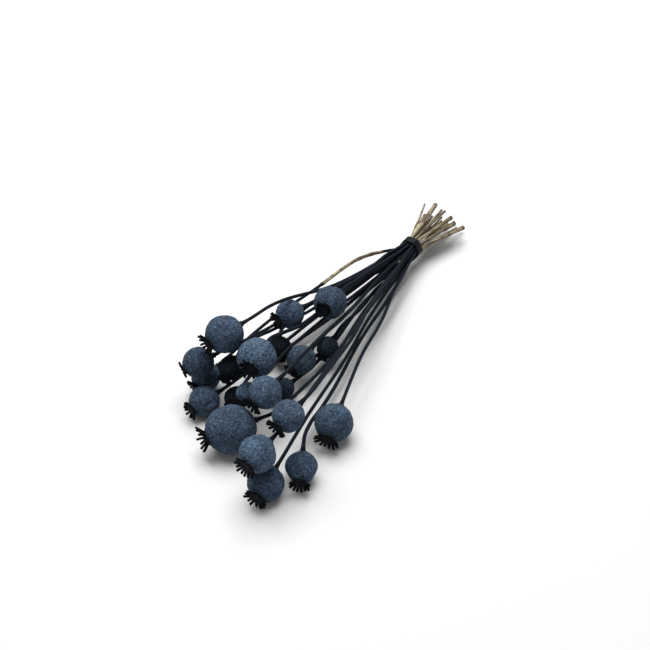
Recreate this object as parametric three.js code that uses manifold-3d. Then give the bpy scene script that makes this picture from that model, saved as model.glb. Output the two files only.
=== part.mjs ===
// A tied bunch of dried, dyed poppy seed heads, lying on a table.
// Millimetres, +Z up. The stems run along Y, with the heads towards -Y and the cut ends towards +Y.
import * as THREE from "three";
import { mergeVertices } from "three/addons/utils/BufferGeometryUtils.js";
import Module from "manifold-3d";

const wasm = await Module();
wasm.setup();

// The tie and the bundle of stems in it
const TIE_HEIGHT = 22;
const TIE_WIDTH = 8;
const TIE_THICKNESS = 1.6;
const TIE_CLEARANCE = 0.3;
const TIE_CORNER_STEPS = 4;
const SLOT_PITCH = 4;
const SLOT_REACH = 4;

// Stems
const STEM_THICKEST = 3.7;
const STEM_THINNEST = 3.1;
const STEM_SIDES = 5;
const STEM_RUN_POINTS = 12;
const STEM_FLARE = 1.3;
const STEM_FLARE_LENGTH = 5;
const STEM_STRAIGHT_END = 10;
const STEM_WANDER = 1.5;
const WANDER_BENDS = 3;
const LEAVE_ALONG_BUNDLE = 0.3;
const BEND_AT_TIE = 0.25;
const BEND_AT_HEAD = 0.1;

// Cut ends beyond the tie
const TAIL_LONGEST = 84;
const TAIL_SHORTEST = 52;
const TAIL_SPREAD = 4;
const TAIL_DROOP = 5;
const TAIL_CURVE = 1.2;

// Seed heads
const CAPSULE_SIDES = 12;
const CAPSULE_RINGS = 7;
const CAPSULE_BASE_ANGLE = -80;
const CAPSULE_NECK_ANGLE = 68;
const COLLAR_LENGTH = 2.5;
const COLLAR_RADIUS = 2.4;
const NECK_SHARE = 0.3;
const CROWN_DISC_SHARE = 0.6;
const CROWN_THICKNESS = 1.5;
const CROWN_RISE = 1.06;
const FINGERS_FEWEST = 13;
const TIP_HALF_SHARE = 0.18;

// Clearances
const GAP = 0.3;
const STEM_CLEARANCE = 0.5;
const CLEARING_ROUNDS = 400;
const PUSH_SHARE = 0.6;
const EASE_AT_FIRST = 0.4;
const REST_SINK = 0.8;

// One row for each poppy, placed from the foot of the tie:
// reach is how far out the head lies, swing its angle from -Y towards +X, height that of its centre.
// girth is the capsule's diameter and tall its length over that diameter.
// yaw and nod turn the crown: yaw from -Y towards +X, nod down from level.
// crown is the crown's diameter, and open the angle between its fingers and the head's axis.
// A head that rests takes its height from the table.
// A stem may go via a point of its own, keep to its head's axis for its own share of the way (bend),
// and have its own length beyond the tie (tail).
const POPPIES = [
  { reach: 254, swing: -9, height: 66, girth: 33, tall: 1, yaw: -16, nod: 5, crown: 20, open: 50,
    via: { reach: 76, swing: -10.5, height: 31 } },
  { reach: 181, swing: -7, height: 48, girth: 26, tall: 1, yaw: -18, nod: 2, crown: 17, open: 55 },
  { reach: 153, swing: 1.5, height: 55, girth: 30, tall: 1, yaw: 11, nod: -12, crown: 16, open: 65 },
  { reach: 276, swing: -11.5, height: 40, girth: 27, tall: 1, yaw: -30, nod: 12, crown: 15, open: 80 },
  { reach: 266, swing: -12.5, height: 14.5, girth: 26, tall: 1, yaw: -12, nod: 15, crown: 15, open: 55,
    via: { reach: 72, swing: -22, height: 34 }, tail: 84 },
  { reach: 259, swing: -6.5, height: 37, girth: 22, tall: 1, yaw: 5, nod: 20, crown: 13, open: 55 },
  { reach: 250, swing: -1.5, height: 55, girth: 34, tall: 0.98, yaw: 15, nod: -7, crown: 19, open: 60 },
  { reach: 197, swing: -6.5, height: 18, girth: 22, tall: 1, yaw: 35, nod: 0, crown: 13, open: 60 },
  { reach: 204, swing: 2, height: 25, girth: 26, tall: 1, yaw: -3, nod: 10, crown: 15, open: 60 },
  { reach: 172, swing: 4.5, height: 19, girth: 20, tall: 1, yaw: 5, nod: 14, crown: 12, open: 55 },
  { reach: 287, swing: -8, rests: true, girth: 27, tall: 1, yaw: -12, nod: 2, crown: 17, open: 55 },
  { reach: 265, swing: -4.5, height: 11.5, girth: 20, tall: 1, yaw: 10, nod: 8, crown: 12, open: 60 },
  { reach: 274, swing: 4, height: 46, girth: 28, tall: 1, yaw: -9, nod: 14, crown: 19, open: 60 },
  { reach: 267, swing: -1, height: 27, girth: 20, tall: 1, yaw: -4, nod: 15, crown: 12, open: 60 },
  { reach: 304, swing: 1, height: 21, girth: 41, tall: 1.05, yaw: -30, nod: 2, crown: 22, open: 45 },
  { reach: 304, swing: 11.5, height: 62, girth: 26, tall: 1, yaw: -8, nod: 14, crown: 19, open: 65 },
  { reach: 257, swing: 16, height: 18, girth: 33, tall: 1, yaw: 14, nod: 15, crown: 22, open: 60 },
  { reach: 337, swing: 9.5, height: 46, girth: 30, tall: 1, yaw: 0, nod: 2, crown: 20, open: 60 },
  { reach: 337, swing: 10.5, rests: true, girth: 30, tall: 1, yaw: 8, nod: 6, crown: 21, open: 60 },
  { reach: 311, swing: 14, height: 14.5, girth: 27, tall: 1, yaw: 30, nod: 12, crown: 18, open: 45,
    via: { reach: 249, swing: 12.2, height: 15 }, bend: 0.02 },
  { reach: 233, swing: 2, height: 13, girth: 19, tall: 1, yaw: -3, nod: -5, crown: 12, open: 60 },
];

const UP = new THREE.Vector3(0, 0, 1);
const capsuleMaterial = new THREE.MeshStandardMaterial({ color: 0x4d5a6f, roughness: 0.85, metalness: 0 });
const stemMaterial = new THREE.MeshStandardMaterial({ color: 0x1b212c, roughness: 0.6, metalness: 0 });
const tieMaterial = new THREE.MeshStandardMaterial({ color: 0x10161a, roughness: 0.7, metalness: 0 });

const radians = THREE.MathUtils.degToRad;

// A repeatable number from -1 to 1 for each poppy and purpose.
function vary(index, purpose) {
  const wave = Math.sin(index * 12.9898 + purpose * 78.233) * 43758.5453;
  return 2 * (wave - Math.floor(wave)) - 1;
}

// Solids and meshes

function bareGeometry(geometry) {
  geometry.deleteAttribute("normal");
  geometry.deleteAttribute("uv");
  const merged = mergeVertices(geometry, 1e-4);
  const corners = merged.index.array;
  const kept = [];
  for (let i = 0; i < corners.length; i += 3) {
    const [a, b, c] = corners.slice(i, i + 3);
    if (a !== b && b !== c && c !== a) kept.push(a, b, c);
  }
  merged.setIndex(kept);
  return merged;
}

function solidFrom(geometry) {
  const bare = bareGeometry(geometry);
  const vertProperties = bare.attributes.position.array;
  const triVerts = Uint32Array.from(bare.index.array);
  return new wasm.Manifold(new wasm.Mesh({ numProp: 3, vertProperties, triVerts }));
}

function geometryFrom(solid) {
  const { vertProperties, triVerts } = solid.getMesh();
  const geometry = new THREE.BufferGeometry();
  geometry.setAttribute("position", new THREE.BufferAttribute(vertProperties, 3));
  geometry.setIndex(new THREE.BufferAttribute(triVerts, 1));
  geometry.computeVertexNormals();
  return geometry;
}

function namedMesh(name, geometry, material) {
  const mesh = new THREE.Mesh(geometry, material);
  mesh.name = name;
  return mesh;
}

// Where each head lies and which way its crown points

function placeAround({ reach, swing, height }) {
  const angle = radians(swing);
  return new THREE.Vector3(reach * Math.sin(angle), -reach * Math.cos(angle), height);
}

function placeHead(row, index) {
  const yaw = radians(row.yaw);
  const nod = radians(row.nod);
  const level = Math.cos(nod);
  const axis = new THREE.Vector3(Math.sin(yaw) * level, -Math.cos(yaw) * level, -Math.sin(nod));
  const radius = row.girth / 2;
  const half = radius * row.tall;
  const height = row.rests ? radius - REST_SINK : row.height;
  const centre = placeAround({ ...row, height });
  const base = centre.clone().addScaledVector(axis, -half - COLLAR_LENGTH);
  const crownCentre = centre.clone().addScaledVector(axis, half * CROWN_RISE);
  const fingers = FINGERS_FEWEST + (index % 3);
  return { ...row, index, axis, centre, radius, half, base, crownCentre, fingers };
}

// A round capsule on a short collar, with a narrow neck under the crown.
function capsuleGeometry(head) {
  const { radius, half } = head;
  const profile = [
    new THREE.Vector2(0, -half - COLLAR_LENGTH),
    new THREE.Vector2(COLLAR_RADIUS, -half - COLLAR_LENGTH),
  ];
  for (let ring = 0; ring <= CAPSULE_RINGS; ring += 1) {
    const share = ring / CAPSULE_RINGS;
    const angle = radians(THREE.MathUtils.lerp(CAPSULE_BASE_ANGLE, CAPSULE_NECK_ANGLE, share));
    profile.push(new THREE.Vector2(radius * Math.cos(angle), half * Math.sin(angle)));
  }
  profile.push(new THREE.Vector2(radius * NECK_SHARE, half * CROWN_RISE));
  profile.push(new THREE.Vector2(0, half * CROWN_RISE));
  return new THREE.LatheGeometry(profile, CAPSULE_SIDES);
}

// A disc whose rim is drawn out into blunt fingers: a notch, then the two corners of a tip, and round again.
function crownGeometry(head) {
  const discRadius = (head.crown / 2) * CROWN_DISC_SHARE;
  const reach = head.crown / 2 - discRadius;
  const lift = reach / Math.tan(radians(head.open));
  const cornerTurn = [-0.5, -TIP_HALF_SHARE, TIP_HALF_SHARE];
  const perFinger = cornerTurn.length;
  const cornerCount = perFinger * head.fingers;
  const geometry = new THREE.CylinderGeometry(1, 1, CROWN_THICKNESS, cornerCount, 1);
  const points = geometry.attributes.position;
  for (let i = 0; i < points.count; i += 1) {
    const x = points.getX(i);
    const z = points.getZ(i);
    const isRim = Math.hypot(x, z) > 0.5;
    if (isRim) {
      const turn = (Math.atan2(x, z) / (2 * Math.PI) + 1) % 1;
      const corner = Math.round(turn * cornerCount) % cornerCount;
      const isTip = corner % perFinger > 0;
      const finger = Math.floor(corner / perFinger) + cornerTurn[corner % perFinger];
      const angle = (2 * Math.PI * finger) / head.fingers;
      const distance = isTip ? discRadius + reach : discRadius;
      const height = points.getY(i) + (isTip ? lift : 0);
      points.setXYZ(i, distance * Math.sin(angle), height, distance * Math.cos(angle));
    }
  }
  return geometry.translate(0, head.half * CROWN_RISE, 0);
}

function headMesh(head, name) {
  const mesh = namedMesh(name, undefined, capsuleMaterial);
  mesh.position.copy(head.centre);
  mesh.quaternion.setFromUnitVectors(new THREE.Vector3(0, 1, 0), head.axis);
  mesh.updateMatrix();
  let solid = solidFrom(capsuleGeometry(head)).add(solidFrom(crownGeometry(head)));
  if (head.rests) {
    const size = 4 * head.radius;
    const table = new THREE.BoxGeometry(size, size, size);
    table.translate(head.centre.x, head.centre.y, -size / 2);
    table.applyMatrix4(mesh.matrix.clone().invert());
    solid = solid.subtract(solidFrom(table));
  }
  mesh.geometry = geometryFrom(solid);
  return mesh;
}

// Stems

// The tightest set of close-packed places for the stems in the tie.
function packSlots(count) {
  const rowPitch = (SLOT_PITCH * Math.sqrt(3)) / 2;
  const slots = [];
  for (let row = -SLOT_REACH; row <= SLOT_REACH; row += 1) {
    for (let column = -SLOT_REACH; column <= SLOT_REACH; column += 1) {
      const offset = row % 2 === 0 ? 0 : 0.5;
      slots.push(new THREE.Vector2((column + offset) * SLOT_PITCH, row * rowPitch));
    }
  }
  slots.sort((a, b) => a.length() - b.length());
  return slots.slice(0, count);
}

// Give each head the place in the tie that lies furthest its own way, so that few stems cross.
function assignSlots(heads, slots) {
  const aims = heads.map((head) => {
    const goal = head.via ? placeAround(head.via) : head.centre;
    return new THREE.Vector2(goal.x, goal.z - TIE_HEIGHT).divideScalar(-goal.y);
  });
  const chosen = slots.slice();
  let improved = true;
  while (improved) {
    improved = false;
    for (let i = 0; i < chosen.length; i += 1) {
      for (let j = i + 1; j < chosen.length; j += 1) {
        const gain = aims[i].clone().sub(aims[j]).dot(chosen[j].clone().sub(chosen[i]));
        if (gain > 1e-6) {
          [chosen[i], chosen[j]] = [chosen[j], chosen[i]];
          improved = true;
        }
      }
    }
  }
  return chosen;
}

// Cut end to tie: the stems spread again, and the lowest row comes down to the table.
function tailPoints(head, slot, lowest, radius) {
  const chance = 0.5 + 0.5 * vary(head.index, 1);
  const isLowest = slot.y - lowest < SLOT_PITCH / 2;
  const usual = isLowest ? TAIL_LONGEST : THREE.MathUtils.lerp(TAIL_SHORTEST, TAIL_LONGEST, chance);
  const length = head.tail ?? usual;
  const flatSide = radius * Math.cos(Math.PI / STEM_SIDES);
  const drop = (TIE_HEIGHT - TAIL_DROOP - flatSide) / -lowest;
  const at = (y) => {
    const share = Math.max(0, (y - TIE_WIDTH / 2) / (TAIL_LONGEST - TIE_WIDTH / 2)) ** TAIL_CURVE;
    const across = THREE.MathUtils.lerp(1, TAIL_SPREAD, share);
    const down = THREE.MathUtils.lerp(1, drop, share);
    return new THREE.Vector3(slot.x * across, y, TIE_HEIGHT + slot.y * down - TAIL_DROOP * share);
  };
  return [at(length), at(length / 2), at(TIE_WIDTH / 2), at(-TIE_WIDTH / 2)];
}

// Tie to head: one smooth bend that leaves along the bundle and arrives along the head's axis.
function runPoints(head, start) {
  const end = head.base.clone().addScaledVector(head.axis, -GAP);
  const flare = end.clone().addScaledVector(head.axis, -STEM_FLARE_LENGTH);
  const straight = end.clone().addScaledVector(head.axis, -STEM_STRAIGHT_END);
  const span = start.distanceTo(straight);
  const leave = straight.clone().sub(start).normalize().lerp(new THREE.Vector3(0, -1, 0), LEAVE_ALONG_BUNDLE);
  const first = start.clone().addScaledVector(leave, span * BEND_AT_TIE);
  const second = straight.clone().addScaledVector(head.axis, -span * (head.bend ?? BEND_AT_HEAD));
  const curve = head.via
    ? new THREE.CatmullRomCurve3([start, placeAround(head.via), second, straight])
    : new THREE.CubicBezierCurve3(start, first, second, straight);
  const points = curve.getSpacedPoints(STEM_RUN_POINTS).slice(1);
  points.forEach((point, i) => {
    const share = (i + 1) / STEM_RUN_POINTS;
    const swell = STEM_WANDER * Math.sin(Math.PI * share);
    point.x += swell * Math.sin(Math.PI * (WANDER_BENDS * share + vary(head.index, 2)));
    point.z += swell * Math.sin(Math.PI * (WANDER_BENDS * share + vary(head.index, 3)));
  });
  return [...points, flare, end];
}

function planStem(head, slot, lowest) {
  const chance = 0.5 + 0.5 * vary(head.index, 4);
  const radius = THREE.MathUtils.lerp(STEM_THINNEST, STEM_THICKEST, chance) / 2;
  const tail = tailPoints(head, slot, lowest, radius);
  const run = runPoints(head, tail[tail.length - 1]);
  const points = [...tail, ...run];
  const free = { from: tail.length, to: points.length - 3 };
  return { head, radius, points, planned: points.map((point) => point.clone()), free };
}

// Move the point of a stem that lies at a share of the way along one of its stretches.
function shiftStretch(stem, i, share, step) {
  const isFree = (k) => k >= stem.free.from && k < stem.free.to;
  if (isFree(i)) stem.points[i].addScaledVector(step, 1 - share);
  if (isFree(i + 1)) stem.points[i + 1].addScaledVector(step, share);
}

function pushStemsApart(one, other) {
  const room = one.radius + other.radius + STEM_CLEARANCE;
  const lineOne = new THREE.Line3();
  const lineOther = new THREE.Line3();
  const nearOne = new THREE.Vector3();
  const nearOther = new THREE.Vector3();
  for (let i = one.free.from - 1; i < one.points.length - 1; i += 1) {
    lineOne.set(one.points[i], one.points[i + 1]);
    for (let j = other.free.from - 1; j < other.points.length - 1; j += 1) {
      lineOther.set(other.points[j], other.points[j + 1]);
      const distance = Math.sqrt(lineOne.distanceSqToLine3(lineOther, nearOne, nearOther));
      if (distance < room) {
        const shareOne = lineOne.closestPointToPointParameter(nearOne, true);
        const shareOther = lineOther.closestPointToPointParameter(nearOther, true);
        const step = nearOne.clone().sub(nearOther);
        if (distance < 1e-3) step.copy(UP);
        step.setLength((room - distance) * PUSH_SHARE);
        shiftStretch(one, i, shareOne, step);
        shiftStretch(other, j, shareOther, step.negate());
      }
    }
  }
}

function pushOffBall(stem, centre, radius) {
  const room = radius + stem.radius + STEM_CLEARANCE;
  const line = new THREE.Line3();
  const near = new THREE.Vector3();
  for (let i = stem.free.from - 1; i < stem.free.to; i += 1) {
    line.set(stem.points[i], stem.points[i + 1]);
    const share = line.closestPointToPointParameter(centre, true);
    line.at(share, near);
    const distance = near.distanceTo(centre);
    if (distance < room) shiftStretch(stem, i, share, near.sub(centre).setLength(room - distance));
  }
}

// Ease each bend over the neighbouring points, less and less as the rounds go by.
function easeBends(stem, strength) {
  const offsets = stem.points.map((point, i) => point.clone().sub(stem.planned[i]));
  for (let i = stem.free.from; i < stem.free.to; i += 1) {
    const middle = offsets[i - 1].clone().add(offsets[i + 1]).multiplyScalar(0.5);
    stem.points[i].copy(stem.planned[i]).add(offsets[i].clone().lerp(middle, strength));
    stem.points[i].z = Math.max(stem.points[i].z, stem.radius + GAP);
  }
}

// Bend the stems clear of one another, of the heads they pass and of the table.
function bendClear(stems, heads) {
  for (let round = 0; round < CLEARING_ROUNDS; round += 1) {
    for (let i = 0; i < stems.length; i += 1) {
      for (let j = i + 1; j < stems.length; j += 1) pushStemsApart(stems[i], stems[j]);
    }
    for (const stem of stems) {
      for (const head of heads) {
        if (head !== stem.head) {
          pushOffBall(stem, head.centre, Math.max(head.radius, head.half));
          pushOffBall(stem, head.crownCentre, head.crown / 2);
        }
      }
      easeBends(stem, EASE_AT_FIRST * (1 - round / CLEARING_ROUNDS));
    }
  }
}

// A round stalk swept along its points, with a short flare where it meets the head.
function stemGeometry(stem) {
  const { points, radius } = stem;
  const last = points.length - 1;
  const geometry = new THREE.CylinderGeometry(1, 1, 1, STEM_SIDES, last);
  const corners = geometry.attributes.position;
  const along = new THREE.Vector3();
  for (let i = 0; i < corners.count; i += 1) {
    const ring = Math.round((corners.getY(i) + 0.5) * last);
    along.subVectors(points[Math.min(ring + 1, last)], points[Math.max(ring - 1, 0)]).normalize();
    const side = new THREE.Vector3().crossVectors(along, UP).normalize();
    const across = new THREE.Vector3().crossVectors(side, along);
    const size = ring === last ? radius * STEM_FLARE : radius;
    const corner = points[ring].clone();
    corner.addScaledVector(side, corners.getX(i) * size);
    corner.addScaledVector(across, corners.getZ(i) * size);
    corners.setXYZ(i, corner.x, corner.y, corner.z);
  }
  return bareGeometry(geometry);
}

// The band: a loop that follows the outside of the bundle, wound tight round its corner stems

function outerSlots(slots) {
  const sorted = slots.slice().sort((a, b) => a.x - b.x || a.y - b.y);
  const turnsLeft = (a, b, c) => (b.x - a.x) * (c.y - a.y) - (b.y - a.y) * (c.x - a.x) > 1e-6;
  const chain = (places) => {
    const kept = [];
    for (const place of places) {
      while (kept.length > 1 && !turnsLeft(kept[kept.length - 2], kept[kept.length - 1], place)) kept.pop();
      kept.push(place);
    }
    return kept.slice(0, -1);
  };
  return [...chain(sorted), ...chain(sorted.slice().reverse())];
}

function loopPoints(corners, radius) {
  const points = [];
  corners.forEach((corner, i) => {
    const before = corners[(i + corners.length - 1) % corners.length];
    const after = corners[(i + 1) % corners.length];
    const from = Math.atan2(corner.y - before.y, corner.x - before.x) - Math.PI / 2;
    const turn = Math.atan2(after.y - corner.y, after.x - corner.x) - Math.PI / 2 - from;
    const sweep = THREE.MathUtils.euclideanModulo(turn, 2 * Math.PI);
    for (let step = 0; step <= TIE_CORNER_STEPS; step += 1) {
      const angle = from + (sweep * step) / TIE_CORNER_STEPS;
      const offset = new THREE.Vector2(radius * Math.cos(angle), radius * Math.sin(angle));
      points.push(corner.clone().add(offset));
    }
  });
  return points;
}

function tieMesh(slots) {
  const inner = STEM_THICKEST / 2 + TIE_CLEARANCE;
  const corners = outerSlots(slots);
  const band = new THREE.Shape(loopPoints(corners, inner + TIE_THICKNESS));
  band.holes.push(new THREE.Path(loopPoints(corners, inner)));
  const geometry = new THREE.ExtrudeGeometry(band, { depth: TIE_WIDTH, bevelEnabled: false });
  geometry.translate(0, 0, -TIE_WIDTH / 2);
  const mesh = namedMesh("tie", bareGeometry(geometry), tieMaterial);
  mesh.position.set(0, 0, TIE_HEIGHT);
  mesh.rotation.x = Math.PI / 2;
  return mesh;
}

// The whole bunch, centred over its footprint with its lowest points on the table

const heads = POPPIES.map(placeHead);
const slots = assignSlots(heads, packSlots(heads.length));
const lowestSlot = Math.min(...slots.map((slot) => slot.y));
const stems = heads.map((head, i) => planStem(head, slots[i], lowestSlot));
bendClear(stems, heads);

const bunch = new THREE.Group();
stems.forEach((stem, i) => {
  const number = String(i + 1).padStart(2, "0");
  bunch.add(namedMesh(`stem_${number}`, stemGeometry(stem), stemMaterial));
  bunch.add(headMesh(stem.head, `head_${number}`));
});
bunch.add(tieMesh(slots));

const middle = new THREE.Box3().setFromObject(bunch).getCenter(new THREE.Vector3());
bunch.position.set(-middle.x, -middle.y, 0);

const part = new THREE.Group();
part.add(bunch);

export default part;
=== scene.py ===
"""Looks for a tied bunch of dried, dyed poppy seed heads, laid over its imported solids.

Metres, +Z up. The heads lie towards -Y and the cut ends towards +Y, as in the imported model.
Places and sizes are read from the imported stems, heads and tie.
"""

import math
import random
from dataclasses import dataclass

import bmesh
import bpy
import numpy as np
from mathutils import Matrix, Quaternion, Vector, noise


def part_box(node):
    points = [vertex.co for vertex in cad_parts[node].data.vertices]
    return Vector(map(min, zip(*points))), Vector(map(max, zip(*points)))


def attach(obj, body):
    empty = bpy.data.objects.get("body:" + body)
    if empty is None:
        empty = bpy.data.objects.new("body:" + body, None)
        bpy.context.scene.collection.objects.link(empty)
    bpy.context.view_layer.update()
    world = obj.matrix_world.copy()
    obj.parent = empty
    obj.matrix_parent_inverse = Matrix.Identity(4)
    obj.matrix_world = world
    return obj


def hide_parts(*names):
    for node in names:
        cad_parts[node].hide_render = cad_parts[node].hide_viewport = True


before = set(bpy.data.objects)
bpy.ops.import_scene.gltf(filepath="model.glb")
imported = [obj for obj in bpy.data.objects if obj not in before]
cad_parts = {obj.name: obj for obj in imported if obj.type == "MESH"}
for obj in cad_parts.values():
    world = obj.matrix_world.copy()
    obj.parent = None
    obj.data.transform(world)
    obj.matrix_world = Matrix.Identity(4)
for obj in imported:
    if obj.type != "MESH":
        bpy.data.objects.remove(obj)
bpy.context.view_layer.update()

UP = Vector((0, 0, 1))
HEAD_AXIS = Vector((0, 1, 0))
FULL_TURN = 2 * math.pi

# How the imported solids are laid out
WELD_DIGITS = 7
CUT_RING_REACH = 0.005
STEM_GAP = 0.0003
PACKED_COLLAR = 0.0025
PACKED_WIDEST_RING = math.radians(4.57)
PACKED_CROWN_RISE = 1.06
PACKED_CROWN_THICKNESS = 0.0015
TIP_REACH_SHARE = 0.97
CORNERS_AT_A_TIP = 4

# Seeds for what is left to chance, to which a crown or a stalk adds its number
CROWN_SEED = 100
STALK_SEED = 200
BAND_SEED = 300

# Capsules: pairs are shares of the collar's radius and length, or of the capsule's radius and half length
CAPSULE_SIDES = 84
CAPSULE_ROWS = 46
COLLAR_RADIUS = 0.0024
COLLAR_SHAPE = ((0.85, 0.0), (1.1, 0.12), (1.18, 0.3), (1.08, 0.5), (0.95, 0.68), (1.02, 0.85))
NECK_SHAPE = ((0.355, 0.955), (0.315, 0.99), (0.305, 1.02), (0.33, 1.05))
CAPSULE_FOOT_DEGREES = -78
CAPSULE_SHOULDER_DEGREES = 66

# Relief of the capsules' skin, which is full in rows at least this share of the radius across
FULL_RELIEF_WIDTH = 0.5
RIB_HEIGHT = 0.012
RIB_AT_MIDDLE = 0.3
RIB_STEEPNESS = 4
LUMP_SIZE = 0.012
LUMP_HEIGHT = 0.0006
WRINKLE_SIZE = 0.0034
WRINKLE_HEIGHT = 0.00022
WRINKLE_SHARPNESS = 3

# Where the capsules darken with painted shade towards the stem and the crown, as shares of the half length
SHADE_AT_ENDS_FROM = 0.9
SHADE_AT_ENDS_BLEND = 0.12

# Crowns: a ring has a web point, two edge points and a ridge point for each finger
CROWN_DISC_SHARE = 0.56
CROWN_RINGS = (0.24, 0.52, 0.8, 1.0)
CROWN_DISH = 0.0006
CROWN_ROUNDING = 2
WEB_SINK = 0.0004
POINTS_PER_FINGER = 4
FINGER_STEPS = (0.3, 0.62, 0.88, 1.0)
FINGER_HALF_WIDTHS = (0.00112, 0.00108, 0.00118, 0.00084)
FINGER_ROOT_HALF_WIDTH = 0.00115
FINGER_PITCH_SHARE = 0.32
FINGER_RIDGE = 0.00045
FINGER_THICKNESS = 0.0018
FINGER_REACH_RANGE = (0.86, 1.08)
FINGER_LIFT_RANGE = (0.7, 1.25)
FINGER_BEND = 0.2
FINGER_CURL = 1.15

# Stalks
STALK_SIDES = 12
STALK_OF_PACKED = 0.95
STALK_STEP = 0.003
STALK_FLARE = 1.3
STALK_FLARE_LENGTH = 0.006
STALK_SWELL = 0.06
STALK_SWELL_LENGTH = 0.014
JOINT_RANGE = (0.2, 0.75)
JOINT_SWELL = 0.2
JOINT_LENGTH = 0.0022
TAIL_RANGE = (0.74, 0.98)
TAIL_TAPER = 0.02
WEATHERING_RANGE = (0.1, 1)
CUT_TILT_RANGE = (0.1, 0.45)
CUT_RAG = 0.0005
TIP_STAIN = 0.007
HOLLOW_SHARE = 0.6
HOLLOW_TAPER = 0.8
HOLLOW_DEPTH = 0.002
STRAW_BLEND = 0.004

# The bowed stalk that the dye missed: its bare stretch, its joints from the tie outwards, and its swelling
BOWED_STALK = 5
BARE_STRETCH = (0.034, 0.122)
BARE_JOINTS = (0.05, 0.066, 0.12)
BARE_SWELL = 0.14

# Stalks whose cut ends are stouter or thinner than the rest. They stay clean, while the rest are weathered.
ODD_TAILS = {1: 1.15, 2: 1.4, 5: 0.72, 9: 1.1}

# Band round the bunch
BAND_TURNS = 4
BAND_POINTS = 96
BAND_TILT = 0.0007
BAND_CROSS_SECTION = 10
BAND_WIDTH_SHARE = 0.47
BAND_HALF_THICKNESS = 0.0007
BAND_FLATNESS = 0.5
BAND_ROUNDNESS = 0.8

# Grain: how fast it changes round or along a piece, and how far the next piece's grain is shifted
SKIN_GRAIN_ROUND = 5
SKIN_GRAIN_ALONG = 1.4
STALK_GRAIN_ROUND = 2
STALK_GRAIN_LENGTH = 0.012
STALK_GRAIN_SHIFT = 9
BAND_GRAIN_ACROSS = 2
BAND_GRAIN_ALONG = 6
BAND_GRAIN_SHIFT = 5

# The photograph's view
PHOTO_AZIMUTH = math.radians(34)
PHOTO_ELEVATION = math.radians(40)
PHOTO_DISTANCE = 1.0
PHOTO_AIM = Vector((-0.01326, -0.01764, 0.025))
PHOTO_LENS = 60

# Floor and light
FLOOR_COLOUR = (0.6, 0.6, 0.6, 1)
FLOOR_ROUGHNESS = 0.9
FLOOR_HALF_WIDTH = 5
SKY_COLOUR = (1, 1, 1, 1)
SKY_STRENGTH = 0.36
SOFTBOX_PLACE = Vector((-0.55, 0.35, 2.2))
SOFTBOX_SIZE = 2.1
SOFTBOX_WATTS = 100

# Dye colours, how strongly and how finely speckled each kind of head shows them, and which heads aren't slate
DYE_DEEP = (0.016, 0.027, 0.044)
DYE_SLATE = (0.045, 0.073, 0.113)
DYE_DUST = (0.105, 0.164, 0.242)
DYE_GREY = (0.066, 0.082, 0.112)
# Painted shade: the near-black that the capsules darken to beside the stem and the crown
PAINTED_SHADE_AT_ENDS = (0.004, 0.006, 0.010)
# The navy and ink heads lie deep in the bunch: their low strengths are partly darker dye and partly painted
# shade
DYE_STRENGTHS = {"pale": 1.25, "slate": 0.98, "dim": 0.78, "navy_and_painted_shade": 0.32, "ink_and_painted_shade": 0.17}
SPECKLE_SCALES = {"pale": 470, "slate": 560, "dim": 520, "navy_and_painted_shade": 600, "ink_and_painted_shade": 600}
# Head 5 takes the pale dye as painted light, to lift it out of the shade that head 4 casts on it
DYED_HEADS = {"pale": {5, 7, 13, 14, 18}, "dim": {3, 4, 9}, "navy_and_painted_shade": {10, 21}, "ink_and_painted_shade": {6, 8, 12}}

# Colours of the crowns, stalks, cut faces and band
CROWN_DARK = (0.0012, 0.0014, 0.002)
CROWN_BLACK = (0.0035, 0.004, 0.0055)
CROWN_DUST = (0.011, 0.013, 0.017)
# Painted highlight along the crown's ridges
PAINTED_RIDGE_HIGHLIGHT = (0.013, 0.016, 0.022)
STALK_DARK = (0.0024, 0.0037, 0.0065)
STALK_BLUE = (0.0085, 0.0125, 0.0200)
STALK_DUST = (0.019, 0.024, 0.033)
STRAW_SHADE = (0.16, 0.125, 0.078)
STRAW_LIGHT = (0.56, 0.49, 0.33)
# Grooves along the straw: their relief is real, and their darkness is painted shade
STRAW_GROOVE_PAINTED_SHADE = (0.05, 0.035, 0.019)
STRAW_STAIN = (0.1, 0.078, 0.052)
STRAW_PIT = (0.06, 0.042, 0.027)
STRAW_WEATHERED = (0.1, 0.078, 0.055)
STRAW_BROWN = (0.05, 0.03, 0.017)
PITH_SHADE = (0.08, 0.064, 0.046)
PITH_LIGHT = (0.19, 0.16, 0.115)
PITH_PIT = (0.03, 0.023, 0.016)
RUBBER_DARK = (0.002, 0.004, 0.005)
RUBBER_LIGHT = (0.007, 0.0125, 0.0145)
RUBBER_DUST = (0.02, 0.027, 0.03)

# The stretch of each pattern's values over which its mask goes from none to full
PATCH_EDGES = (0.32, 0.68)
SPECKLE_EDGES = (0.36, 0.64)
PIT_EDGES = (0.42, 0.16)
STREAK_EDGES = (0.32, 0.68)
CREASE_EDGES = (0.13, 0.02)
CREASE_PATCH_EDGES = (0.4, 0.6)
STRAW_EDGES = (0.42, 0.58)

# How the net of creases is bent, and the scale of the patches where it shows
CREASE_WARP = (0.006, 0.006, 0.006)
CREASE_WARP_SCALE = 260
CREASE_PATCH_SCALE = 110

# Places of a Mix node's colour sockets, which share their names with its other sockets
MIX_FACTOR = 0
MIX_FIRST = 6
MIX_SECOND = 7
MIX_RESULT = 2

# How strongly a surface shines unless its finish says otherwise
USUAL_SHINE = 0.5

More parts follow.
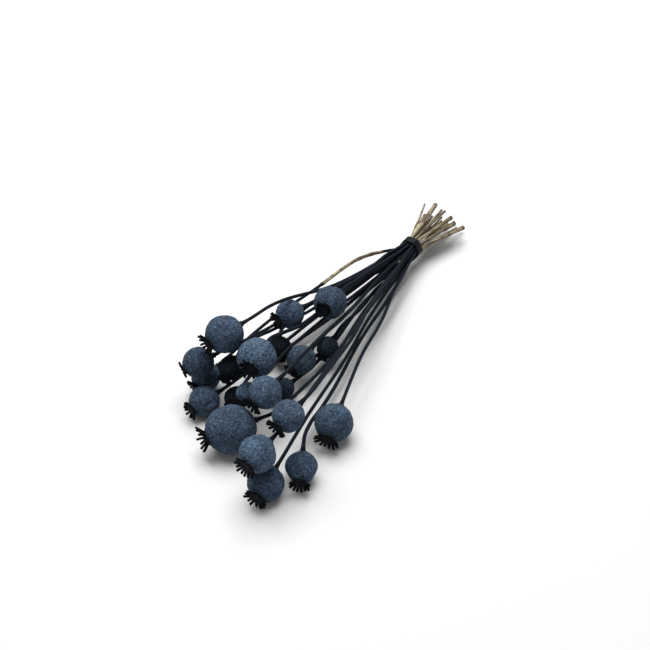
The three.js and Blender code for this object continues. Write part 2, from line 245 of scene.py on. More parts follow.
# Dents that give a head its own outline: which way each one faces, its depth as a share of the radius,
# and its width in radians
DENTS = {
    1: [((-0.6, 0.6, 0.6), 0.03, 0.5)],
    2: [((0.7, 0.5, 0.6), 0.03, 0.4)],
    3: [((0.3, 0.4, 0.9), 0.03, 0.5)],
    7: [((0.8, 0.4, 0.6), 0.04, 0.5), ((-0.5, -0.3, 0.8), 0.02, 0.4)],
    9: [((0.1, -0.3, 1), 0.06, 0.3), ((0.9, -0.2, 0.5), 0.06, 0.4)],
    11: [((0.79, -0.36, 0.49), 0.16, 0.26), ((-0.1, -0.5, 0.8), 0.07, 0.3), ((0.5, 0.2, 0.9), 0.05, 0.3)],
    13: [((-0.6, -0.9, 0.2), 0.06, 0.5), ((0.9, 0.2, 0.5), 0.05, 0.5)],
    15: [((0.8, 0.5, 0.6), 0.04, 0.5), ((0.3, -0.9, 0.2), 0.04, 0.5)],
    16: [((0.5, 0.1, 0.8), 0.1, 0.33), ((-0.3, -0.5, 0.8), 0.09, 0.36), ((0.75, -0.55, 0.2), 0.06, 0.4)],
    17: [((0.2, 0.9, 0.6), 0.04, 0.5), ((0.9, -0.3, 0.2), 0.03, 0.5)],
    18: [((0.75, -0.65, 0.02), 0.08, 0.22), ((0, -0.2, 1), 0.05, 0.4), ((0.8, 0.6, 0.2), 0.08, 0.5)],
    19: [((0.9, 0.2, 0.2), 0.04, 0.5)],
    20: [((-0.3, -0.9, -0.25), 0.12, 0.5), ((-0.75, -0.2, 0.6), 0.06, 0.4), ((0.9, 0.1, -0.2), 0.1, 0.5)],
}


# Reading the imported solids


@dataclass
class Stem:
    """One packed stem: the middles of its rings from the cut end to the head, and its radius."""

    number: int
    middles: list
    radius: float


@dataclass
class Head:
    """One packed head: where it lies, its size, and how its crown opens."""

    number: int
    centre: Vector
    turn: Quaternion
    radius: float
    half: float
    crown_radius: float
    crown_lift: float
    fingers: int


def welded(node):
    """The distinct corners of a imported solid, and the corners that each one is joined to."""
    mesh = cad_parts[node].data
    index_at = {}
    corner_of = []
    for vertex in mesh.vertices:
        place = tuple(round(value, WELD_DIGITS) for value in vertex.co)
        corner_of.append(index_at.setdefault(place, len(index_at)))
    joined = [set() for _ in index_at]
    for edge in mesh.edges:
        one, other = (corner_of[i] for i in edge.vertices)
        joined[one].add(other)
        joined[other].add(one)
    return [Vector(place) for place in index_at], joined


def middle_of(points):
    return sum(points, Vector()) / len(points)


def read_stem(number):
    """Walk a packed stem ring by ring, from its cut end to its head."""
    points, joined = welded(f"stem_{number:02d}")
    far_end = max(points, key=lambda point: point.y)
    ring = {i for i, point in enumerate(points) if (point - far_end).length < CUT_RING_REACH}
    seen = set()
    middles = []
    radius = 0
    while len(ring) > 2:
        seen |= ring
        middle = middle_of([points[i] for i in ring])
        middles.append(middle)
        if len(middles) == 2:
            radius = max((points[i] - middle).length for i in ring)
        ring = {other for i in ring for other in joined[i]} - seen
    return Stem(number, middles, radius)


def read_head(stem):
    """Measure a packed head along the axis that its stem gives it."""
    points, _ = welded(f"head_{stem.number:02d}")
    axis = (stem.middles[-1] - stem.middles[-2]).normalized()
    foot = stem.middles[-1] + axis * STEM_GAP
    corners = np.array(points) - np.array(foot)
    along = corners @ np.array(axis)
    across = np.linalg.norm(corners - np.outer(along, np.array(axis)), axis=1)
    widest = np.argmax(across)
    radius = across[widest] / math.cos(PACKED_WIDEST_RING)
    half = (along[widest] - PACKED_COLLAR) / (1 + math.sin(PACKED_WIDEST_RING))
    crown_plane = PACKED_COLLAR + half * (1 + PACKED_CROWN_RISE)
    in_crown = along > crown_plane - PACKED_CROWN_THICKNESS
    crown_radius = across[in_crown].max()
    tips = in_crown & (across > TIP_REACH_SHARE * crown_radius)
    return Head(
        number=stem.number,
        centre=foot + axis * (PACKED_COLLAR + half),
        turn=HEAD_AXIS.rotation_difference(axis),
        radius=float(radius),
        half=float(half),
        crown_radius=float(crown_radius),
        crown_lift=float(along[tips].mean() - crown_plane),
        fingers=round(tips.sum() / CORNERS_AT_A_TIP),
    )


# Making pieces


def new_piece(name, points, faces):
    """A smooth-shaded mesh object whose faces all look outwards."""
    mesh = bpy.data.meshes.new(name)
    mesh.from_pydata(points, [], faces)
    cleaned = bmesh.new()
    cleaned.from_mesh(mesh)
    bmesh.ops.recalc_face_normals(cleaned, faces=cleaned.faces)
    cleaned.to_mesh(mesh)
    cleaned.free()
    mesh.shade_smooth()
    piece = bpy.data.objects.new(name, mesh)
    bpy.context.scene.collection.objects.link(piece)
    return piece


def store_number(piece, name, values):
    """Keep one number for each point, for the materials to read."""
    attribute = piece.data.attributes.new(name, "FLOAT", "POINT")
    attribute.data.foreach_set("value", values)


def store_grain(piece, vectors):
    """Keep each point's place in the grain, which runs along the second of its three numbers."""
    attribute = piece.data.attributes.new("grain", "FLOAT_VECTOR", "POINT")
    attribute.data.foreach_set("vector", np.array(vectors, np.float32).ravel())


def ring_faces(rings, sides, closed=False):
    """Faces between rings of points that follow one another."""
    faces = []
    for ring in range(rings if closed else rings - 1):
        here = ring * sides
        there = (ring + 1) % rings * sides
        faces += belt_faces(here, there, sides)
    return faces


def belt_faces(here, there, sides):
    """Faces between two rings, given the first point of each."""
    faces = []
    for side in range(sides):
        after = (side + 1) % sides
        faces.append((here + side, here + after, there + after, there + side))
    return faces


def fan_faces(first, sides, tip):
    """Faces from a ring of points to one point."""
    return [(first + side, first + (side + 1) % sides, tip) for side in range(sides)]


def ease(value):
    """A smooth step from 0 to 1."""
    value = min(1, max(0, value))
    return value * value * (3 - 2 * value)


def lumps(point, size, seed):
    """Smooth noise from -1 to 1, with lumps about a size across."""
    return noise.noise(point / size + Vector((seed, 2 * seed, 3 * seed)))


# Seed heads


def capsule_rows(head):
    """The capsule's outline from the stem to the crown: how far across and along each row lies."""
    rows = []
    for wide, high in COLLAR_SHAPE:
        rows.append((COLLAR_RADIUS * wide, -head.half - PACKED_COLLAR * (1 - high)))
    for angle in np.radians(np.linspace(CAPSULE_FOOT_DEGREES, CAPSULE_SHOULDER_DEGREES, CAPSULE_ROWS)):
        rows.append((head.radius * math.cos(angle), head.half * math.sin(angle)))
    for wide, high in NECK_SHAPE:
        rows.append((head.radius * wide, head.half * high))
    return rows


def capsule_swell(head, outward, height, angle):
    """How far the dried skin stands out from its plain outline, as a share of the radius."""
    polar = min(1, abs(height))
    ribs = RIB_HEIGHT * (RIB_AT_MIDDLE + polar**RIB_STEEPNESS) * math.cos(head.fingers * angle)
    place = head.centre + outward * head.radius
    swell = LUMP_HEIGHT * lumps(place, LUMP_SIZE, head.number)
    swell += WRINKLE_HEIGHT * (1 - WRINKLE_SHARPNESS * abs(lumps(place, WRINKLE_SIZE, head.number)))
    dents = 0
    for facing, depth, width in DENTS.get(head.number, []):
        away = outward.angle(Vector(facing))
        dents += depth * math.exp(-((away / width) ** 2))
    return ribs + swell / head.radius - dents


def make_capsule(head):
    """A closed skin from the collar to the neck, ribbed, lumpy, wrinkled and dented."""
    rows = capsule_rows(head)
    points = []
    ends = []
    grain = []
    for across, along in rows:
        height = along / head.half
        relief = min(1, across / head.radius / FULL_RELIEF_WIDTH)
        for side in range(CAPSULE_SIDES):
            angle = FULL_TURN * side / CAPSULE_SIDES
            round_x = math.sin(angle)
            round_z = math.cos(angle)
            plain = Vector((across * round_x, along, across * round_z))
            outward = (head.turn @ plain).normalized()
            swell = capsule_swell(head, outward, height, angle) * relief
            point = head.centre + head.turn @ plain + outward * head.radius * swell
            point.z = max(point.z, 0)
            points.append(point)
            # Painted shade beside the stem and the crown: 0 in the middle of the capsule, 1 at its ends
            ends.append(ease((abs(height) - SHADE_AT_ENDS_FROM) / SHADE_AT_ENDS_BLEND))
            grain.append(
                (
                    SKIN_GRAIN_ROUND * round_x,
                    SKIN_GRAIN_ALONG * height,
                    SKIN_GRAIN_ROUND * round_z + head.number,
                )
            )
    foot = len(points)
    points.append(head.centre + head.turn @ Vector((0, rows[0][1], 0)))
    points.append(head.centre + head.turn @ Vector((0, rows[-1][1], 0)))
    ends += [1, 1]
    grain += [(0, -1, head.number), (0, 1, head.number)]
    last_row = (len(rows) - 1) * CAPSULE_SIDES
    faces = ring_faces(len(rows), CAPSULE_SIDES)
    faces += fan_faces(0, CAPSULE_SIDES, foot)
    faces += fan_faces(last_row, CAPSULE_SIDES, foot + 1)
    piece = new_piece(f"capsule_{head.number:02d}", points, faces)
    store_number(piece, "ends", ends)
    store_grain(piece, grain)
    return piece


def make_crown(head):
    """A ridged disc drawn out into blunt fingers: one sheet, thickened and rounded by modifiers."""
    chance = random.Random(CROWN_SEED + head.number)
    pitch = FULL_TURN / head.fingers
    disc = head.crown_radius * CROWN_DISC_SHARE
    top = head.half * PACKED_CROWN_RISE
    points = []
    painted_ridge_highlight = []

    # A point's ridge share is how much painted highlight it takes
    def add_point(distance, angle, height, ridge=0.0):
        plain = Vector((distance * math.sin(angle), top + height, distance * math.cos(angle)))
        point = head.centre + head.turn @ plain
        point.z = max(point.z, FINGER_THICKNESS / 2)
        points.append(point)
        painted_ridge_highlight.append(ridge)
        return len(points) - 1

    hub = add_point(0, 0, -CROWN_DISH)
    rings = []
    for share in CROWN_RINGS:
        distance = disc * share
        turn = min(FINGER_PITCH_SHARE * pitch, FINGER_ROOT_HALF_WIDTH / distance)
        dish = -CROWN_DISH * (1 - share)
        ring = []
        for finger in range(head.fingers):
            angle = finger * pitch
            ring.append(add_point(distance, angle - pitch / 2, dish - WEB_SINK * share))
            ring.append(add_point(distance, angle - turn, dish))
            ring.append(add_point(distance, angle, dish + FINGER_RIDGE, 1.0))
            ring.append(add_point(distance, angle + turn, dish))
        rings.append(ring)
    columns = len(rings[0])
    faces = [(rings[0][i], rings[0][(i + 1) % columns], hub) for i in range(columns)]
    for inner, outer in zip(rings, rings[1:]):
        for i in range(columns):
            after = (i + 1) % columns
            faces.append((inner[i], inner[after], outer[after], outer[i]))

    for finger in range(head.fingers):
        web = POINTS_PER_FINGER * finger
        row = rings[-1][web + 1 : web + POINTS_PER_FINGER]
        length = head.crown_radius * chance.uniform(*FINGER_REACH_RANGE) - disc
        lift = head.crown_lift * chance.uniform(*FINGER_LIFT_RANGE)
        bend = pitch * chance.uniform(-FINGER_BEND, FINGER_BEND)
        for share, half_width in zip(FINGER_STEPS, FINGER_HALF_WIDTHS):
            distance = disc + length * share
            angle = finger * pitch + bend * share
            turn = half_width / distance
            rise = lift * share**FINGER_CURL
            outer = [
                add_point(distance, angle - turn, rise),
                add_point(distance, angle, rise + FINGER_RIDGE * (1 - share), 1.0 - share),
                add_point(distance, angle + turn, rise),
            ]
            faces.append((row[0], row[1], outer[1], outer[0]))
            faces.append((row[1], row[2], outer[2], outer[1]))
            row = outer
    piece = new_piece(f"crown_{head.number:02d}", points, faces)
    # Painted highlight: kept for each point, strongest along the ridges
    store_number(piece, "painted_ridge_highlight", painted_ridge_highlight)
    thick = piece.modifiers.new("thickness", "SOLIDIFY")
    thick.thickness = FINGER_THICKNESS
    thick.offset = 0
    rounded = piece.modifiers.new("rounding", "SUBSURF")
    rounded.levels = CROWN_ROUNDING
    rounded.render_levels = CROWN_ROUNDING
    return piece


# Stalks


def smooth_line(knots, step):
    """Points about a step apart on a smooth curve through the knots."""
    spans = [(after - before).length for before, after in zip(knots, knots[1:])]
    slopes = [(after - before) / span for before, after, span in zip(knots, knots[1:], spans)]
    tangents = [slopes[0]]
    for i in range(1, len(knots) - 1):
        total = spans[i - 1] + spans[i]
        tangents.append((slopes[i - 1] * spans[i] + slopes[i] * spans[i - 1]) / total)
    tangents.append(slopes[-1])
    line = []
    for i, span in enumerate(spans):
        count = max(1, round(span / step))
        for k in range(count):
            t = k / count
            line.append(
                knots[i] * (1 + 2 * t) * (1 - t) ** 2
                + tangents[i] * span * t * (1 - t) ** 2
                + knots[i + 1] * t * t * (3 - 2 * t)
                + tangents[i + 1] * span * t * t * (t - 1)
            )
    line.append(knots[-1])
    return line


def lengths_along(line):
    """How far along a line each of its points lies."""
    gone = [0.0]
    for before, after in zip(line, line[1:]):
        gone.append(gone[-1] + (after - before).length)
    return gone


def bare_share(number, beyond_tie):
    """How far the dye is missing: 1 beyond the tie, and along the bare stretch of the bowed stalk."""
    bare = ease(0.5 + beyond_tie / STRAW_BLEND)
    if number == BOWED_STALK:
        start, end = BARE_STRETCH
        bare = max(bare, ease((-beyond_tie - start) / STRAW_BLEND) * ease((end + beyond_tie) / STRAW_BLEND))
    return bare


def make_stalk(stem, tie_edge):
    """A jointed tube along a packed stem, flared at the head, with a slanted hollow cut at its other end."""
    chance = random.Random(STALK_SEED + stem.number)
    line = smooth_line(stem.middles, STALK_STEP)
    gone = lengths_along(line)
    length = gone[-1]
    tie_at = gone[min(range(len(line)), key=lambda i: abs(line[i].y - tie_edge))]
    usual_tail = chance.uniform(*TAIL_RANGE)
    tail = ODD_TAILS.get(stem.number, usual_tail)
    joints = [tie_at + at for at in BARE_JOINTS] if stem.number == BOWED_STALK else []
    joints.append(tie_at * chance.uniform(*JOINT_RANGE))
    cut_turn = chance.uniform(0, FULL_TURN)
    cut_tilt = chance.uniform(*CUT_TILT_RANGE)
    weathering = 0 if stem.number in ODD_TAILS else chance.uniform(*WEATHERING_RANGE)
    own_grain = STALK_GRAIN_SHIFT * stem.number

    points = []
    straw = []
    brown = []
    grain = []
    for i, place in enumerate(line):
        ahead = line[min(i + 1, len(line) - 1)]
        behind = line[max(i - 1, 0)]
        along = (ahead - behind).normalized()
        side = along.cross(UP).normalized()
        across = side.cross(along)
        swell = 1 + STALK_SWELL * lumps(place, STALK_SWELL_LENGTH, stem.number)
        bare = bare_share(stem.number, tie_at - gone[i])
        swell *= 1 + (tail - 1) * ease((tie_at - gone[i]) / TAIL_TAPER)
        if gone[i] > tie_at:
            swell *= 1 + BARE_SWELL * bare
        swell *= 1 + (STALK_FLARE - 1) * ease(1 - (length - gone[i]) / STALK_FLARE_LENGTH)
        near = max(math.exp(-(((gone[i] - at) / JOINT_LENGTH) ** 2)) for at in joints)
        swell *= 1 + JOINT_SWELL * near
        for k in range(STALK_SIDES):
            angle = FULL_TURN * k / STALK_SIDES
            outward = side * math.cos(angle) + across * math.sin(angle)
            point = place + outward * stem.radius * STALK_OF_PACKED * swell
            if i == 0:
                point += along * stem.radius * cut_tilt * (1 + math.cos(angle - cut_turn))
                point += along * chance.uniform(0, CUT_RAG)
            point.z = max(point.z, 0)
            points.append(point)
            straw.append(bare)
            brown.append(max(near, ease(1 - gone[i] / TIP_STAIN)))
            grain.append(
                (
                    STALK_GRAIN_ROUND * math.cos(angle),
                    gone[i] / STALK_GRAIN_LENGTH,
                    STALK_GRAIN_ROUND * math.sin(angle) + own_grain,
                )
            )

    rings = len(line)
    inward = (line[1] - line[0]).normalized()
    rim = points[:STALK_SIDES]
    rim_middle = middle_of(rim)
    hollow = len(points)
    hollow_floor = hollow + STALK_SIDES
    for depth, share in ((0.0, HOLLOW_SHARE), (HOLLOW_DEPTH, HOLLOW_SHARE * HOLLOW_TAPER)):
        points += [rim_middle + (point - rim_middle) * share + inward * depth for point in rim]
    points.append(rim_middle + inward * HOLLOW_DEPTH)
    points.append(line[-1])
    extra = len(points) - len(straw)
    straw += [1.0] * extra
    brown += [0.0] * extra
    grain += [(0, 0, own_grain)] * extra

    faces = ring_faces(rings, STALK_SIDES)
    sides_only = len(faces)
    faces += belt_faces(0, hollow, STALK_SIDES)
    faces += belt_faces(hollow, hollow_floor, STALK_SIDES)
    faces += fan_faces(hollow_floor, STALK_SIDES, len(points) - 2)
    cut_faces = range(sides_only, len(faces))
    faces += fan_faces((rings - 1) * STALK_SIDES, STALK_SIDES, len(points) - 1)
    piece = new_piece(f"stalk_{stem.number:02d}", points, faces)
    store_number(piece, "straw", straw)
    store_number(piece, "brown", brown)
    store_number(piece, "weathering", [weathering] * len(points))
    store_grain(piece, grain)
    for i in cut_faces:
        piece.data.polygons[i].material_index = 1
        piece.data.polygons[i].use_smooth = False
    return piece


# The band


def band_route():
    """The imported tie's middle and width, and the route of a turn: its angles, facings and core points."""
    points, _ = welded("tie")
    low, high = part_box("tie")
    middle = (low + high) / 2
    step = FULL_TURN / BAND_POINTS
    facings = [Vector((math.cos(step * i), 0, math.sin(step * i))) for i in range(BAND_POINTS)]
    reach = [max((point - middle).dot(facing) for point in points) for facing in facings]
    route = []
    for i, facing in enumerate(facings):
        slope = (reach[(i + 1) % BAND_POINTS] - reach[i - 1]) / (2 * step)
        sideways = Vector((-facing.z, 0, facing.x))
        core = middle + facing * (reach[i] - BAND_HALF_THICKNESS) + sideways * slope
        route.append((step * i, facing, core))
    return middle, high.y - low.y, route


def make_band():
    """Turns of flat rubber, side by side and a little askew, and two dark sheets across the middle as painted
    shade between the stalks.
    """
    chance = random.Random(BAND_SEED)
    middle, width, route = band_route()
    pitch = width / BAND_TURNS
    half_width = pitch * BAND_WIDTH_SHARE
    points = []
    faces = []
    grain = []
    for turn in range(BAND_TURNS):
        first = len(points)
        offset = (turn + 0.5) * pitch - width / 2
        tilt = chance.uniform(-BAND_TILT, BAND_TILT)
        start = chance.uniform(0, FULL_TURN)
        for angle, facing, core in route:
            shift = offset + tilt * math.sin(angle - start)
            for k in range(BAND_CROSS_SECTION):
                around = FULL_TURN * k / BAND_CROSS_SECTION
                flat = math.copysign(abs(math.cos(around)) ** BAND_FLATNESS, math.cos(around))
                thick = math.copysign(abs(math.sin(around)) ** BAND_ROUNDNESS, math.sin(around))
                sideways = Vector((0, shift + flat * half_width, 0))
                points.append(core + sideways + facing * thick * BAND_HALF_THICKNESS)
                grain.append(
                    (BAND_GRAIN_ACROSS * flat, BAND_GRAIN_ALONG * angle, thick + BAND_GRAIN_SHIFT * turn)
                )
        turn_faces = ring_faces(BAND_POINTS, BAND_CROSS_SECTION, closed=True)
        faces += [tuple(first + corner for corner in face) for face in turn_faces]
    # Two dark sheets of the band's rubber across the middle of the bunch, put in as painted shade between the
    # stalks, so that no light comes through the middle
    for offset in (-pitch, pitch):
        first = len(points)
        shift = Vector((0, offset, 0))
        for angle, _, core in route:
            points.append(core + shift)
            grain.append((0, BAND_GRAIN_ALONG * angle, 0))
        points.append(middle + shift)
        grain.append((0, 0, 0))
        faces += fan_faces(first, BAND_POINTS, first + BAND_POINTS)
    piece = new_piece("band", points, faces)
    store_grain(piece, grain)
    return piece


# Materials


def feed(tree, socket, value):
    """Join a socket to another node's output, or give it a number, a vector or an opaque colour."""
    if isinstance(value, bpy.types.NodeSocket):
        tree.links.new(value, socket)
    elif socket.type == "RGBA":
        socket.default_value = (*value, 1)
    else:
        socket.default_value = value


def add(tree, kind, inputs=None, **properties):
    """A node with its properties set and its inputs, by name or place, fed."""
    node = tree.nodes.new(kind)
    for name, value in properties.items():
        setattr(node, name, value)
    for name, value in (inputs or {}).items():
        feed(tree, node.inputs[name], value)
    return node


def mix(tree, factor, first, second):
    """Two colours mixed by a factor."""
    inputs = {MIX_FACTOR: factor, MIX_FIRST: first, MIX_SECOND: second}
    return add(tree, "ShaderNodeMix", inputs, data_type="RGBA").outputs[MIX_RESULT]


def spread(tree, value, low=0.0, high=1.0, to_low=0.0, to_high=1.0):
    """A value stretched from one range to another and held there."""
    inputs = {"Value": value, "From Min": low, "From Max": high, "To Min": to_low, "To Max": to_high}
    return add(tree, "ShaderNodeMapRange", inputs).outputs["Result"]


def layer(tree, under, over, mask, low=0.0, high=1.0, at_low=0.0, at_high=1.0):
    """A colour over another one: the share that shows follows a mask from its low to its high value."""
    return mix(tree, spread(tree, mask, low, high, at_low, at_high), under, over)


def work_out(tree, operation, first, second):
    """The result of one sum with two numbers."""
    return add(tree, "ShaderNodeMath", {0: first, 1: second}, operation=operation).outputs[0]


def reading(tree, name):
    """A number that is kept on the mesh."""
    return add(tree, "ShaderNodeAttribute", attribute_name=name).outputs["Fac"]


def masks_of(tree, group, scales):
    """The masks of a shared group, at a finish's own scales."""
    return add(tree, "ShaderNodeGroup", scales, node_tree=group).outputs


def new_group(name, inputs, outputs):
    """A shared group of nodes, with the node that holds its inputs and the one that takes its outputs."""
    group = bpy.data.node_groups.new(name, "ShaderNodeTree")
    for socket in inputs:
        group.interface.new_socket(socket, in_out="INPUT", socket_type="NodeSocketFloat")
    for socket in outputs:
        group.interface.new_socket(socket, in_out="OUTPUT", socket_type="NodeSocketFloat")
    start = group.nodes.new("NodeGroupInput")
    end = group.nodes.new("NodeGroupOutput")
    return group, start, end


def build_mottle():
    """Uneven dye: broad patches, a fine speckle and scattered pits, all over a piece."""
    group, start, end = new_group("mottle", ["Patch Scale", "Speckle Scale"], ["Patches", "Speckle", "Pits"])
    patch_scale = start.outputs["Patch Scale"]
    speckle_scale = start.outputs["Speckle Scale"]
    place = add(group, "ShaderNodeTexCoord").outputs["Object"]
    broad = add(group, "ShaderNodeTexNoise", {"Vector": place, "Scale": patch_scale, "Detail": 4})
    fine = add(group, "ShaderNodeTexNoise", {"Vector": place, "Scale": speckle_scale, "Detail": 3})
    pitted = add(group, "ShaderNodeTexVoronoi", {"Vector": place, "Scale": speckle_scale})
    group.links.new(spread(group, broad.outputs["Fac"], *PATCH_EDGES), end.inputs["Patches"])
    group.links.new(spread(group, fine.outputs["Fac"], *SPECKLE_EDGES), end.inputs["Speckle"])
    group.links.new(spread(group, pitted.outputs["Distance"], *PIT_EDGES), end.inputs["Pits"])
    return group


def build_wrinkles():
    """Fine creases in dried skin: a crooked net that comes and goes."""
    group, start, end = new_group("wrinkles", ["Scale"], ["Creases"])
    place = add(group, "ShaderNodeTexCoord").outputs["Object"]
    warp = add(group, "ShaderNodeTexNoise", {"Vector": place, "Scale": CREASE_WARP_SCALE, "Detail": 3})
    wander = {0: warp.outputs["Color"], 1: CREASE_WARP}
    shift = add(group, "ShaderNodeVectorMath", wander, operation="MULTIPLY")
    crooked = add(group, "ShaderNodeVectorMath", {0: place, 1: shift.outputs[0]}, operation="ADD")
    net = {"Vector": crooked.outputs[0], "Scale": start.outputs["Scale"]}
    cells = add(group, "ShaderNodeTexVoronoi", net, feature="DISTANCE_TO_EDGE")
    shown = add(group, "ShaderNodeTexNoise", {"Vector": place, "Scale": CREASE_PATCH_SCALE, "Detail": 2})
    crease = spread(group, cells.outputs["Distance"], *CREASE_EDGES)
    patchy = spread(group, shown.outputs["Fac"], *CREASE_PATCH_EDGES)
    group.links.new(work_out(group, "MULTIPLY", crease, patchy), end.inputs["Creases"])
    return group


def build_streaks():
    """Fibres that run along the grain kept on the mesh."""
    group, start, end = new_group("streaks", ["Scale"], ["Streaks"])
    grain = add(group, "ShaderNodeAttribute", attribute_name="grain").outputs["Vector"]
    scale = start.outputs["Scale"]
    fibres = add(group, "ShaderNodeTexNoise", {"Vector": grain, "Scale": scale, "Detail": 4})
    group.links.new(spread(group, fibres.outputs["Fac"], *STREAK_EDGES), end.inputs["Streaks"])
    return group


def new_material(name):
    material = bpy.data.materials.new(name)
    material.use_nodes = True
    tree = material.node_tree
    return material, tree, tree.nodes["Principled BSDF"]


def finish_skin(tree, shader, colour, roughness, relief, depth, strength, shine=USUAL_SHINE):
    """Join a skin's colour, roughness and relief to its shader."""
    tree.links.new(colour, shader.inputs["Base Color"])
    tree.links.new(roughness, shader.inputs["Roughness"])
    shader.inputs["Specular IOR Level"].default_value = shine
    bump = add(tree, "ShaderNodeBump", {"Height": relief, "Distance": depth, "Strength": strength})
    tree.links.new(bump.outputs["Normal"], shader.inputs["Normal"])


def capsule_skin(kind, mottle, wrinkles, streaks):
    """Dry dyed skin, mottled with pale dust, with painted shade in its wrinkles and beside the stem and the
    crown.
    """
    strength = DYE_STRENGTHS[kind]
    deep, slate, dust, grey = (
        tuple(strength * share for share in colour) for colour in (DYE_DEEP, DYE_SLATE, DYE_DUST, DYE_GREY)
    )
    material, tree, shader = new_material(f"{kind} capsule")
    dye = masks_of(tree, mottle, {"Patch Scale": 130, "Speckle Scale": SPECKLE_SCALES[kind]})
    cast = masks_of(tree, mottle, {"Patch Scale": 260, "Speckle Scale": 1500})
    crease = masks_of(tree, wrinkles, {"Scale": 330})["Creases"]
    fibre = masks_of(tree, streaks, {"Scale": 1.0})["Streaks"]
    colour = layer(tree, slate, grey, cast["Patches"], low=0.3, at_high=0.7)
    colour = layer(tree, colour, deep, dye["Patches"], at_low=0.75, at_high=0)
    colour = layer(tree, colour, dust, dye["Speckle"], low=0.2, at_high=0.85)
    colour = layer(tree, colour, deep, cast["Speckle"], low=0.5, at_high=0.4)
    colour = layer(tree, colour, deep, fibre, at_low=0.35, at_high=0)
    # Painted shade in the creases: the colour darkens along the net of creases, on top of their relief
    colour = layer(tree, colour, deep, crease, at_high=0.6)
    colour = layer(tree, colour, deep, dye["Pits"], at_high=0.45)
    # Painted shade: the skin darkens towards the stem and the crown
    colour = layer(tree, colour, PAINTED_SHADE_AT_ENDS, reading(tree, "ends"), low=0.1, at_high=0.85)
    roughness = spread(tree, dye["Speckle"], to_low=0.75, to_high=0.95)
    relief = work_out(tree, "ADD", dye["Speckle"], fibre)
    relief = work_out(tree, "SUBTRACT", relief, crease)
    finish_skin(tree, shader, colour, roughness, relief, depth=0.0005, strength=0.9, shine=0.1)
    return material


def crown_skin(mottle):
    """The crown dried hard and took the dye almost black, with a painted highlight along its ridges."""
    material, tree, shader = new_material("black crown")
    dye = masks_of(tree, mottle, {"Patch Scale": 260, "Speckle Scale": 1400})
    colour = mix(tree, dye["Patches"], CROWN_DARK, CROWN_BLACK)
    colour = layer(tree, colour, CROWN_DUST, dye["Speckle"], low=0.5, at_high=0.35)
    # Painted highlight: the ridges are lighter, as if they caught the light
    colour = layer(tree, colour, PAINTED_RIDGE_HIGHLIGHT, reading(tree, "painted_ridge_highlight"), low=0.45, at_high=0.8)
    roughness = spread(tree, dye["Speckle"], to_low=0.55, to_high=0.8)
    finish_skin(tree, shader, colour, roughness, dye["Speckle"], depth=0.00015, strength=0.6, shine=0.06)
    return material


def stalk_skin(mottle, streaks):
    """Fibrous stalks: blue-black where they were dyed, weathered straw where they weren't."""
    material, tree, shader = new_material("dyed stalk and straw")
    stain = masks_of(tree, mottle, {"Patch Scale": 170, "Speckle Scale": 900})
    fibre = masks_of(tree, streaks, {"Scale": 1.2})["Streaks"]
    groove = masks_of(tree, streaks, {"Scale": 0.42})["Streaks"]
    dyed = mix(tree, fibre, STALK_DARK, STALK_BLUE)
    dyed = layer(tree, dyed, STALK_DUST, stain["Speckle"], low=0.6, at_high=0.3)
    straw = mix(tree, fibre, STRAW_SHADE, STRAW_LIGHT)
    # Painted shade in the straw's grooves, which are also sunk in the relief
    straw = layer(tree, straw, STRAW_GROOVE_PAINTED_SHADE, groove, low=0.2, high=0.6, at_low=0.85, at_high=0)
    straw = layer(tree, straw, STRAW_STAIN, stain["Patches"], low=0.4, high=0.9, at_high=0.75)
    straw = layer(tree, straw, STRAW_PIT, stain["Pits"], at_high=0.6)
    straw = layer(tree, straw, STRAW_WEATHERED, reading(tree, "weathering"), at_high=0.85)
    straw = layer(tree, straw, STRAW_BROWN, reading(tree, "brown"), low=0.2, high=0.9, at_high=0.85)
    frayed = spread(tree, fibre, to_low=-0.2, to_high=0.2)
    edge = work_out(tree, "ADD", reading(tree, "straw"), frayed)
    colour = mix(tree, spread(tree, edge, *STRAW_EDGES), dyed, straw)
    roughness = spread(tree, fibre, to_low=0.48, to_high=0.7)
    specks = spread(tree, stain["Speckle"], to_high=0.4)
    relief = work_out(tree, "ADD", fibre, specks)
    relief = work_out(tree, "ADD", relief, groove)
    finish_skin(tree, shader, colour, roughness, relief, depth=0.0003, strength=0.7, shine=0.07)
    return material


def pith_skin(mottle):
    """The cut face of a stalk: greyed fibre round a dull hollow."""
    material, tree, shader = new_material("cut pith")
    grain = masks_of(tree, mottle, {"Patch Scale": 500, "Speckle Scale": 2200})
    colour = mix(tree, grain["Patches"], PITH_SHADE, PITH_LIGHT)
    colour = layer(tree, colour, PITH_PIT, grain["Pits"], at_high=0.7)
    roughness = spread(tree, grain["Speckle"], to_low=0.75, to_high=0.95)
    finish_skin(tree, shader, colour, roughness, grain["Speckle"], depth=0.0002, strength=0.8)
    return material


def band_skin(mottle, streaks):
    """Dark rubber with a faint green-blue cast, dulled along its stretch."""
    material, tree, shader = new_material("dark rubber band")
    dull = masks_of(tree, mottle, {"Patch Scale": 200, "Speckle Scale": 1600})
    pulled = masks_of(tree, streaks, {"Scale": 1.0})["Streaks"]
    colour = mix(tree, pulled, RUBBER_DARK, RUBBER_LIGHT)
    colour = layer(tree, colour, RUBBER_DUST, dull["Speckle"], low=0.6, at_high=0.3)
    roughness = spread(tree, dull["Patches"], to_low=0.35, to_high=0.6)
    finish_skin(tree, shader, colour, roughness, pulled, depth=0.0001, strength=0.5, shine=0.15)
    return material


# Putting the bunch together


def settle(piece, material, node):
    """Give a piece its finish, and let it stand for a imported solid."""
    piece.data.materials.append(material)
    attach(piece, "root")
    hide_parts(node)


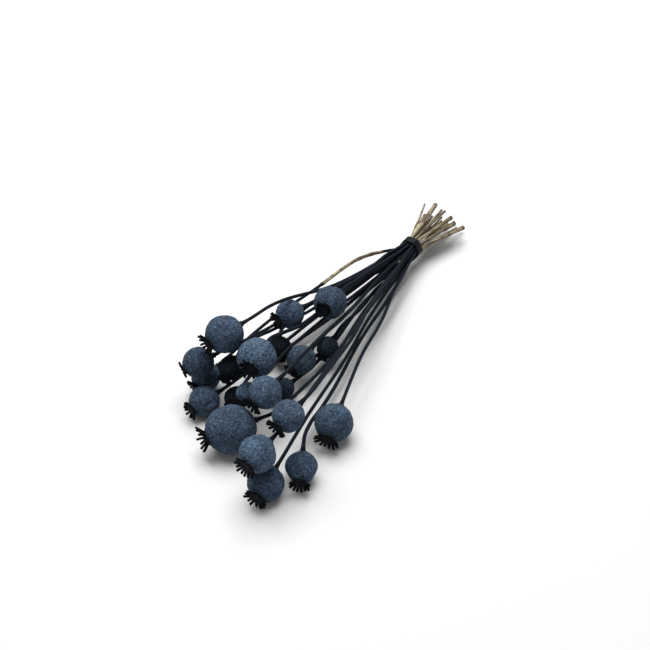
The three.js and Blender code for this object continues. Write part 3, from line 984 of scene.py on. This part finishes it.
def dress_bunch():
    """Lay a capsule, a crown and a stalk over each packed head and stem, and a band over the tie."""
    mottle = build_mottle()
    streaks = build_streaks()
    wrinkles = build_wrinkles()
    skins = {kind: capsule_skin(kind, mottle, wrinkles, streaks) for kind in DYE_STRENGTHS}
    crown = crown_skin(mottle)
    stalk = stalk_skin(mottle, streaks)
    pith = pith_skin(mottle)
    tie_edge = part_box("tie")[1].y
    count = sum(name.startswith("stem_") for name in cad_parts)
    for number in range(1, count + 1):
        stem = read_stem(number)
        head = read_head(stem)
        dye = next((kind for kind, numbers in DYED_HEADS.items() if number in numbers), "slate")
        settle(make_capsule(head), skins[dye], f"head_{number:02d}")
        settle(make_crown(head), crown, f"head_{number:02d}")
        piece = make_stalk(stem, tie_edge)
        settle(piece, stalk, f"stem_{number:02d}")
        piece.data.materials.append(pith)
    settle(make_band(), band_skin(mottle, streaks), "tie")


# Stage, light and camera


def make_floor():
    material, _, shader = new_material("pale floor")
    shader.inputs["Base Color"].default_value = FLOOR_COLOUR
    shader.inputs["Roughness"].default_value = FLOOR_ROUGHNESS
    size = FLOOR_HALF_WIDTH
    corners = [(-size, -size, 0), (size, -size, 0), (size, size, 0), (-size, size, 0)]
    floor = new_piece("floor", corners, [(0, 1, 2, 3)])
    floor.data.materials.append(material)


def add_softbox():
    """One broad light high over the bunch, turned to where the camera looks."""
    light = bpy.data.lights.new("overhead softbox", "AREA")
    light.size = SOFTBOX_SIZE
    light.energy = SOFTBOX_WATTS
    lamp = bpy.data.objects.new("overhead softbox", light)
    lamp.location = SOFTBOX_PLACE
    lamp.rotation_euler = (PHOTO_AIM - SOFTBOX_PLACE).to_track_quat("-Z", "Y").to_euler()
    bpy.context.scene.collection.objects.link(lamp)


def light_stage():
    world = bpy.data.worlds.new("studio")
    world.use_nodes = True
    sky = world.node_tree.nodes["Background"]
    sky.inputs["Color"].default_value = SKY_COLOUR
    sky.inputs["Strength"].default_value = SKY_STRENGTH
    bpy.context.scene.world = world
    add_softbox()
    bpy.context.scene.view_settings.view_transform = "Standard"


def place_camera():
    """Look at the bunch from where the photograph was taken."""
    level = math.cos(PHOTO_ELEVATION)
    back = Vector(
        (math.sin(PHOTO_AZIMUTH) * level, -math.cos(PHOTO_AZIMUTH) * level, math.sin(PHOTO_ELEVATION))
    )
    lens = bpy.data.cameras.new("photo view")
    lens.lens = PHOTO_LENS
    camera = bpy.data.objects.new("photo view", lens)
    camera.location = PHOTO_AIM + back * PHOTO_DISTANCE
    camera.rotation_euler = (-back).to_track_quat("-Z", "Y").to_euler()
    bpy.context.scene.collection.objects.link(camera)
    bpy.context.scene.camera = camera


dress_bunch()
make_floor()
light_stage()
place_camera()
